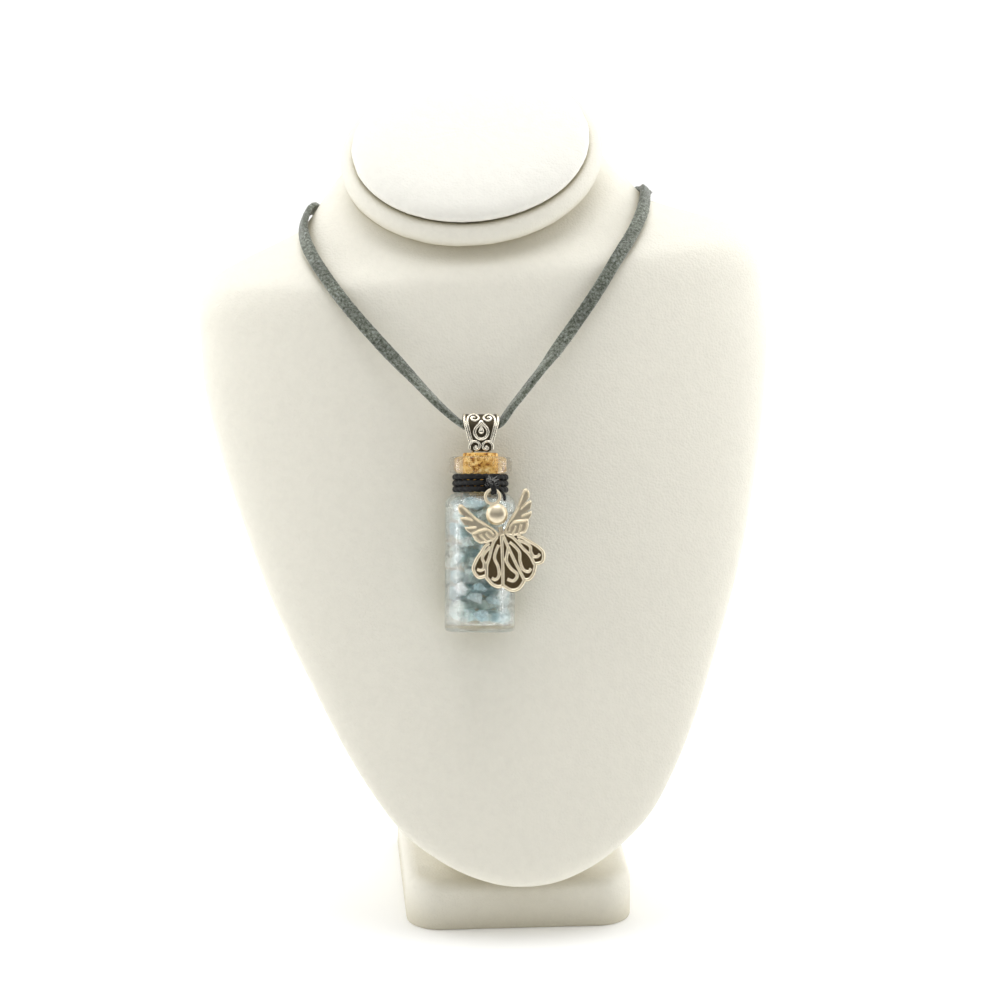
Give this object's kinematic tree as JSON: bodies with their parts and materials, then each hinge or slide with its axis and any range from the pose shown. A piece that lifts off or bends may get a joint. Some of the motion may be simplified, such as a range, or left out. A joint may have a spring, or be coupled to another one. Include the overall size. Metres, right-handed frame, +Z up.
{
  "type": "bottle pendant necklace on a neck bust",
  "caption": "Corked glass bottle of pale crystal chips with an angel charm, hung by an ornamented bail on a flat suede cord over a plain white neck bust.",
  "frame": {"origin": "middle of the whole object's footprint, on the table", "axes": "+Z up, +X to the viewer's right, the chest and the pendant face -Y"},
  "size_m": [0.1342, 0.088, 0.1922],
  "materials": {
    "leatherette": "white, fine pebble grain",
    "pad_leatherette": "white, smooth",
    "suede": "charcoal suede nap",
    "antique_silver": "polished ridges over blackened recesses",
    "steel": "satin",
    "cork": "natural, specked",
    "clear_glass": "clear, polished",
    "aqua_crystal": "pale aqua, translucent, raw",
    "waxed_thread": "near-black, waxed, twisted"
  },
  "bodies": {
    "bust": {"bust_form": "leatherette", "neck_roll": "leatherette", "top_pad": "pad_leatherette", "bust_foot": "leatherette", "necklace_cord": "suede", "clasp": "steel"},
    "pendant": {"bail": "antique_silver", "screw_eye": "steel", "cork": "cork", "bottle": "clear_glass", "crystal_chips": "aqua_crystal", "neck_thread": "waxed_thread", "angel_charm": "antique_silver"}
  },
  "joints": [
    {"name": "pendant_swing", "type": "hinge", "parent": "bust", "child": "pendant", "pos_m": [-0.00359, -0.02283, 0.11889], "axis": [-0.9995, 0.025, 0.019], "range_deg": [0, 70]}
  ]
}
